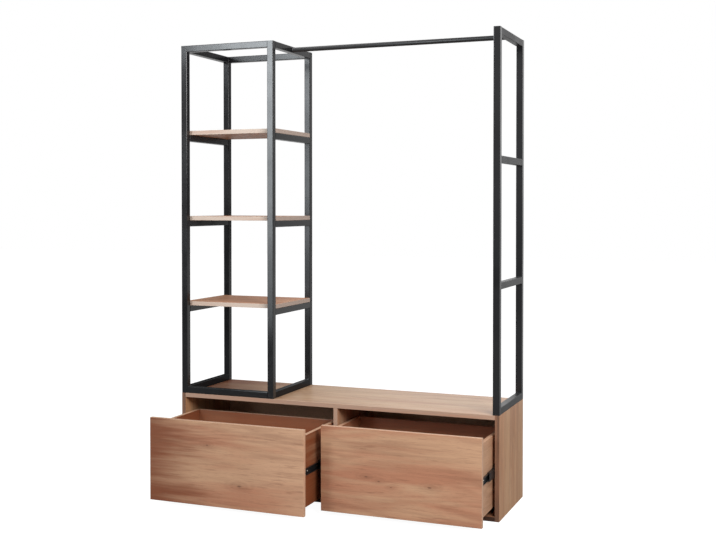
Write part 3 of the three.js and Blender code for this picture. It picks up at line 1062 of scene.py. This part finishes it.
def white_room():
    """A white world that lights the object evenly and shows as plain white. Only in gloss does
    its brightness change with the direction, as that of a room does."""
    room = bpy.data.worlds.new("white_room")
    room.use_nodes = True
    tree = room.node_tree
    tree.nodes.clear()
    path = node(tree, "ShaderNodeLightPath").outputs
    power = between(tree, path["Is Glossy Ray"], studio().room_light, room_in_gloss(tree))
    plain = arithmetic(tree, "MAXIMUM", path["Is Camera Ray"], path["Is Transmission Ray"])
    power = arithmetic(tree, "MAXIMUM", power, plain)
    sky = node(tree, "ShaderNodeBackground", {"Color": opaque(WHITE), "Strength": power})
    out = node(tree, "ShaderNodeOutputWorld")
    tree.links.new(sky.outputs[0], out.inputs["Surface"])
    bpy.context.scene.world = room
    room.cycles.sampling_method = "NONE"


def floor_in_gloss(tree):
    """Brightness that the floor has in gloss, by the place on it"""
    setup = studio()
    parts = split(tree, node(tree, "ShaderNodeTexCoord").outputs["Object"])
    behind = zone(tree, parts, FLOOR_ZONES["behind"], 0.0, setup.floor_shine)
    in_front = arithmetic(
        tree, "MULTIPLY",
        zone(tree, parts, FLOOR_ZONES["in front"], 0.0, setup.front_floor_shine),
        zone(tree, parts, FLOOR_ZONES["right of the far left"]),
    )
    return arithmetic(tree, "ADD", behind, in_front)


def white_floor():
    """A pale floor that keeps a soft shadow and otherwise fades into the white room"""
    setup = studio()
    bm = bmesh.new()
    bmesh.ops.create_grid(bm, x_segments=1, y_segments=1, size=setup.floor_size / 2)
    bmesh.ops.translate(bm, vec=(0, 0, -FLOOR_DROP), verts=bm.verts)
    mesh = bpy.data.meshes.new("floor")
    bm.to_mesh(mesh)
    bm.free()
    material, tree, shader = new_material("floor_white")
    tree.nodes.remove(shader)
    out = next(each for each in tree.nodes if each.type == "OUTPUT_MATERIAL")
    path = node(tree, "ShaderNodeLightPath").outputs
    mirrored = arithmetic(tree, "MULTIPLY", path["Is Glossy Ray"], floor_in_gloss(tree))
    power = arithmetic(
        tree, "MULTIPLY_ADD", path["Is Camera Ray"], setup.floor_glow, mirrored
    )
    diffuse = node(tree, "ShaderNodeBsdfDiffuse", {"Color": opaque(FLOOR_GREY)})
    glow = node(tree, "ShaderNodeEmission", {"Color": opaque(WHITE), "Strength": power})
    both = node(tree, "ShaderNodeAddShader", {0: diffuse.outputs[0], 1: glow.outputs[0]})
    tree.links.new(both.outputs[0], out.inputs["Surface"])
    mesh.materials.append(material)
    floor = place_object("floor", mesh)


def photo_camera():
    """The camera with the photograph's view"""
    setup = studio()
    data = bpy.data.cameras.new("photo_camera")
    data.sensor_width = SENSOR_MILLIMETRES
    data.lens = setup.camera_lens
    data.shift_x, data.shift_y = setup.camera_shift
    data.clip_start, data.clip_end = CAMERA_CLIP
    camera = place_object("photo_camera", data)
    camera.location = setup.camera_place
    camera.rotation_euler = (math.pi / 2 - setup.camera_tilt, 0, setup.camera_turn)
    bpy.context.scene.camera = camera


class WARDROBE_OT_stage(bpy.types.Operator):
    """Camera, floor, room and lamps"""

    bl_idname = "wardrobe.stage"
    bl_label = "Stage"

    def execute(self, context):
        setup = studio()
        white_room()
        white_floor()
        area_light("key_light", *KEY_LIGHT, setup.key_power)
        area_light("top_light", *TOP_LIGHT, setup.top_power)
        for name, (x, z, wide, tall, share) in STRIPS.items():
            area_light(
                f"strip_light_{name}", (x, STRIP_Y, z), (*STRIP_AIM, z), wide, tall,
                setup.strip_power * share * wide * tall, STRIP_TINT,
            )
        photo_camera()
        context.scene.view_settings.view_transform = "Standard"
        return {"FINISHED"}


class WARDROBE_PT_panel(bpy.types.Panel):
    """Lists the wardrobe's sizes, colours and pieces"""

    bl_idname = "WARDROBE_PT_panel"
    bl_label = "Wardrobe"
    bl_space_type = "VIEW_3D"
    bl_region_type = "UI"
    bl_category = "Wardrobe"

    def draw(self, context):
        for owner in (finishes(), fixings(), studio()):
            box = self.layout.box()
            for key in owner.bl_rna.properties.keys():
                if key not in ("rna_type", "name"):
                    box.prop(owner, key)
        for operator in OPERATORS:
            self.layout.operator(operator.bl_idname)


OPERATORS = (
    WARDROBE_OT_cabinet,
    WARDROBE_OT_drawers,
    WARDROBE_OT_shelves,
    WARDROBE_OT_back_panel,
    WARDROBE_OT_frames,
    WARDROBE_OT_clothes_rod,
    WARDROBE_OT_slides,
    WARDROBE_OT_stage,
)
CLASSES = (WardrobeFinishes, WardrobeFixings, WardrobeStudio, *OPERATORS, WARDROBE_PT_panel)


def register():
    for each in CLASSES:
        bpy.utils.register_class(each)
    bpy.types.Scene.wardrobe_finishes = PointerProperty(type=WardrobeFinishes)
    bpy.types.Scene.wardrobe_fixings = PointerProperty(type=WardrobeFixings)
    bpy.types.Scene.wardrobe_studio = PointerProperty(type=WardrobeStudio)


def unregister():
    del bpy.types.Scene.wardrobe_studio
    del bpy.types.Scene.wardrobe_fixings
    del bpy.types.Scene.wardrobe_finishes
    for each in reversed(CLASSES):
        bpy.utils.unregister_class(each)


def main():
    register()
    bpy.ops.wardrobe.cabinet()
    bpy.ops.wardrobe.drawers()
    bpy.ops.wardrobe.shelves()
    bpy.ops.wardrobe.back_panel()
    bpy.ops.wardrobe.frames()
    bpy.ops.wardrobe.clothes_rod()
    bpy.ops.wardrobe.slides()
    bpy.ops.wardrobe.stage()


if __name__ == "__main__":
    main()
